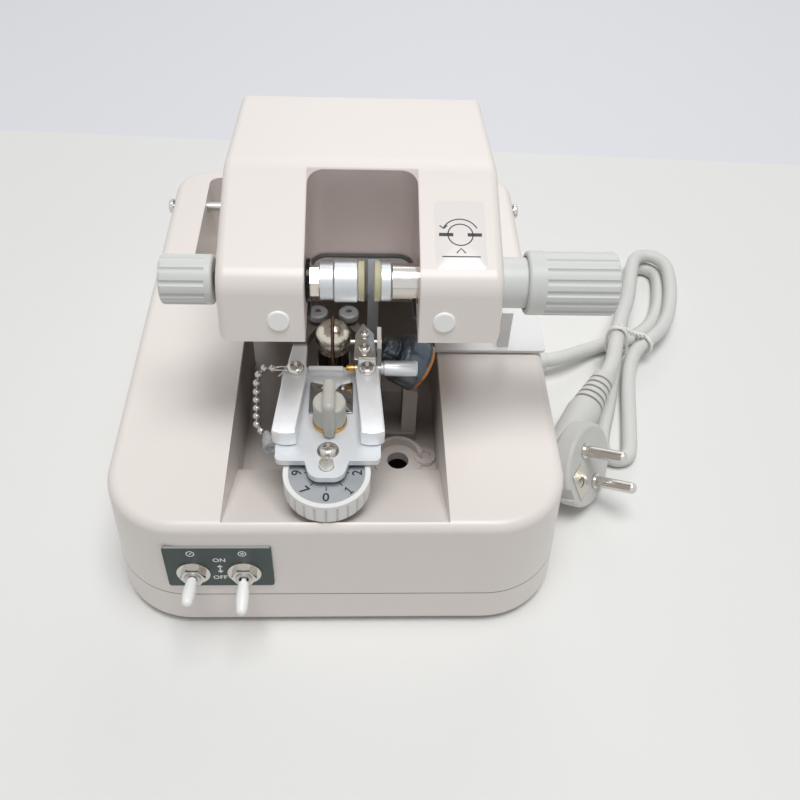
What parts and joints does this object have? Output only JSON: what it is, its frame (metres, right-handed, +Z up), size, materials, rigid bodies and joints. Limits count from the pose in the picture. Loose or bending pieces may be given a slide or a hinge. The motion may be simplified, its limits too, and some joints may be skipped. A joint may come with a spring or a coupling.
{
  "type": "lens groover",
  "caption": "Tabletop lens groover with a tilting head, lens clamp, guide arms, depth dial, wheel, drained base and a tied mains lead with a two-pin plug.",
  "frame": {"origin": "on the table, under the middle of the base", "axes": "+X to the operator's right along the clamp's axis, +Y to the back, +Z up"},
  "size_m": [0.2677, 0.2433, 0.1475],
  "materials": {
    "casing_white": "satin",
    "knob_grey": "satin",
    "dial_white": "satin",
    "pad_clear": "satin",
    "foot_rubber": "matte",
    "satin_aluminium": "satin",
    "polished_steel": "polished",
    "brushed_steel": "brushed",
    "brass": "satin",
    "motor_dark": "satin",
    "casting_grey": "satin",
    "panel_grey": "satin",
    "lever_white": "gloss",
    "guard_sheet": "satin",
    "cord_grey": "matte",
    "tie_white": "matte",
    "stopper_clear": "satin",
    "board_green": "satin",
    "abrasive_grey": "rough"
  },
  "bodies": {
    "base": {"base_shell": "casing_white", "base_pan": "casing_white", "rubber_feet": "foot_rubber", "pan_screws": "brushed_steel", "drain_tube": "casing_white", "hinge_shaft": "brushed_steel", "hinge_screws": "polished_steel", "switch_plate": "panel_grey", "toggle_bodies": "brushed_steel", "toggle_nuts": "polished_steel", "side_guard": "guard_sheet", "power_supply": "board_green", "machine_bracket": "casting_grey", "wheel_guard": "polished_steel", "wheel_motor": "motor_dark", "motor_neck": "motor_dark", "stop_strip": "brushed_steel", "dial_post": "casting_grey", "cord_gland": "cord_grey", "power_cord_lead": "cord_grey", "power_cord_hank": "cord_grey", "power_cord_tail": "cord_grey", "twist_tie": "tie_white", "plug_body": "cord_grey", "plug_pins": "polished_steel"},
    "head": {"head_shell": "casing_white", "head_bushes": "brass", "head_lower_cover": "casing_white", "head_caps": "lever_white", "lens_motor": "brushed_steel", "right_collar": "knob_grey"},
    "lens_pinion": {"motor_pinion": "brass"},
    "left_clamp": {"left_spindle": "polished_steel", "left_chuck": "satin_aluminium", "left_lens_pad": "pad_clear", "left_knob": "knob_grey", "spindle_gear": "brass"},
    "clamp_slide": {"clamp_carriage": "polished_steel"},
    "screw_knob": {"clamp_knob": "knob_grey"},
    "right_clamp": {"right_chuck": "satin_aluminium", "right_lens_pad": "pad_clear"},
    "wheel": {"grooving_wheel": "abrasive_grey", "wheel_spindle": "brushed_steel"},
    "carriage": {"guide_plate": "satin_aluminium", "carriage_screws": "polished_steel", "cross_bar": "lever_white", "web_spring": "brushed_steel"},
    "left_arm": {"left_guide_arm": "satin_aluminium", "left_guide_disc": "polished_steel", "bead_chain": "polished_steel", "drain_stopper": "stopper_clear"},
    "right_arm": {"right_guide_arm": "satin_aluminium", "right_guide_disc": "polished_steel", "arm_clip": "brushed_steel"},
    "side_screw": {"thumb_screw": "satin_aluminium"},
    "cam": {"cam_knob": "knob_grey"},
    "dial": {"depth_dial": "dial_white", "dial_stem": "brushed_steel"},
    "lens_lever": {"lens_toggle": "lever_white"},
    "wheel_lever": {"wheel_toggle": "lever_white"}
  },
  "joints": [
    {"name": "head_tilt", "type": "hinge", "parent": "base", "child": "head", "pos_m": [0, 0.085, 0.055], "axis": [-1, 0, 0], "range_deg": [0, 50]},
    {"name": "lens_turn", "type": "hinge", "parent": "head", "child": "left_clamp", "pos_m": [0, -0.053, 0.1226], "axis": [1, 0, 0], "continuous": true},
    {"name": "pinion_turn", "type": "hinge", "parent": "head", "child": "lens_pinion", "pos_m": [-0.0293, -0.0394, 0.1226], "axis": [1, 0, 0], "continuous": true},
    {"name": "clamp_travel", "type": "slide", "parent": "head", "child": "clamp_slide", "axis": [1, 0, 0], "range_m": [0, 0.008]},
    {"name": "knob_turn", "type": "hinge", "parent": "clamp_slide", "child": "screw_knob", "pos_m": [0.08, -0.053, 0.1226], "axis": [1, 0, 0], "range_deg": [0, 360]},
    {"name": "far_lens_turn", "type": "hinge", "parent": "clamp_slide", "child": "right_clamp", "pos_m": [0.015, -0.053, 0.1226], "axis": [1, 0, 0], "continuous": true},
    {"name": "wheel_spin", "type": "hinge", "parent": "base", "child": "wheel", "pos_m": [-0.0026, -0.035, 0.077], "axis": [1, 0, 0], "continuous": true},
    {"name": "dial_turn", "type": "hinge", "parent": "base", "child": "dial", "pos_m": [-0.0036, -0.0938, 0.065], "axis": [0, 0, 1], "range_deg": [0, 315]},
    {"name": "carriage_lift", "type": "slide", "parent": "base", "child": "carriage", "axis": [0, 0, 1], "range_m": [0, 0.0014]},
    {"name": "left_arm_swing", "type": "hinge", "parent": "carriage", "child": "left_arm", "pos_m": [-0.0161, -0.0532, 0.0765], "axis": [0, 0, 1], "range_deg": [0, 4]},
    {"name": "right_arm_swing", "type": "hinge", "parent": "carriage", "child": "right_arm", "pos_m": [0.0106, -0.0532, 0.0765], "axis": [0, 0, -1], "range_deg": [0, 4]},
    {"name": "cam_turn", "type": "hinge", "parent": "carriage", "child": "cam", "pos_m": [-0.003, -0.073, 0.078], "axis": [0, 0, 1], "range_deg": [0, 90]},
    {"name": "side_screw_turn", "type": "hinge", "parent": "right_arm", "child": "side_screw", "pos_m": [0.024, -0.0498, 0.0774], "axis": [1, 0, 0], "range_deg": [-180, 180]},
    {"name": "lens_switch", "type": "hinge", "parent": "base", "child": "lens_lever", "pos_m": [-0.0521, -0.1143, 0.03531], "axis": [1, 0, 0], "range_deg": [0, 24]},
    {"name": "wheel_switch", "type": "hinge", "parent": "base", "child": "wheel_lever", "pos_m": [-0.0337, -0.1143, 0.03531], "axis": [-1, 0, 0], "range_deg": [0, 24]}
  ],
  "couplings": [
    {"joint": "pinion_turn", "follows": "lens_turn", "ratio": -2.375},
    {"joint": "far_lens_turn", "follows": "lens_turn", "ratio": 1},
    {"joint": "knob_turn", "follows": "clamp_travel", "rad_per_m": 785},
    {"joint": "dial_turn", "follows": "carriage_lift", "rad_per_m": 3926.9},
    {"joint": "left_arm_swing", "follows": "cam_turn", "ratio": 0.0444},
    {"joint": "right_arm_swing", "follows": "cam_turn", "ratio": 0.0444}
  ]
}
